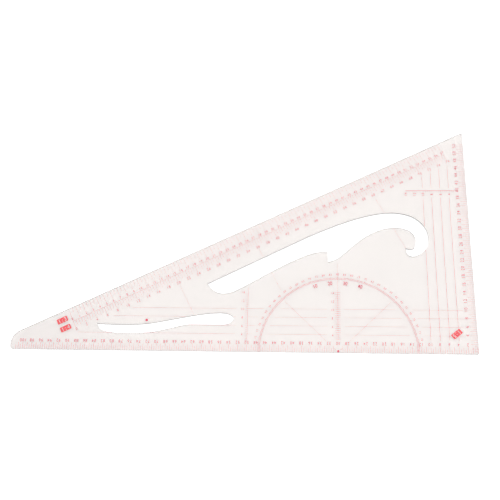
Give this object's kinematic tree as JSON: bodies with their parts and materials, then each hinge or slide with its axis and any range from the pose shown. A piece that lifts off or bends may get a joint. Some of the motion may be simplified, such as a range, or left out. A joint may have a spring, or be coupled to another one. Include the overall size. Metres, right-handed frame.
{
  "type": "scale drafting triangle",
  "caption": "Thin clear plastic drafting triangle with red reduction scales, half-round protractor, guide lines and curve template openings.",
  "frame": {"origin": "under the middle of the sheet's bounding box, on the plane of its lower face", "axes": "+X along the base edge towards the right-angled corner, +Y along the upright edge towards the top corner, +Z out of the printed face"},
  "size_m": [0.206, 0.1114, 0.0012],
  "materials": {
    "clear_sheet": "clear colourless plastic sheet, polished faces, sawn and polished edges",
    "red_ink": "thin satin film of red screen ink"
  },
  "bodies": {
    "root": {"ruler_sheet": "clear_sheet", "corner_guide_grid": "red_ink", "corner_level_guide_1_part_2": "red_ink", "corner_upright_guide_1_part_1": "red_ink", "corner_upright_guide_4_part_2": "red_ink", "left_level_guide_1_part_1": "red_ink", "left_level_guide_1_part_2": "red_ink", "left_level_guide_2_part_1": "red_ink", "left_level_guide_3_part_1": "red_ink", "left_level_guide_3_part_2": "red_ink", "left_level_guide_and_square_line": "red_ink", "pivot_dot": "red_ink", "protractor_band_and_axis": "red_ink", "protractor_centre_dot": "red_ink", "protractor_guides_left": "red_ink", "protractor_guides_right": "red_ink", "ratio_block_fifths": "red_ink", "ratio_block_quarters": "red_ink", "ratio_block_thirds": "red_ink", "short_level_scale": "red_ink", "short_upright_scale": "red_ink", "sloping_quarter_scale": "red_ink", "square_line_long_part_1": "red_ink", "square_line_long_part_2": "red_ink", "square_line_middle_part_1": "red_ink", "square_line_middle_part_2": "red_ink", "top_upright_guide_1": "red_ink", "top_upright_guide_2": "red_ink", "top_upright_guide_3": "red_ink", "top_upright_guide_4": "red_ink"}
  },
  "joints": []
}
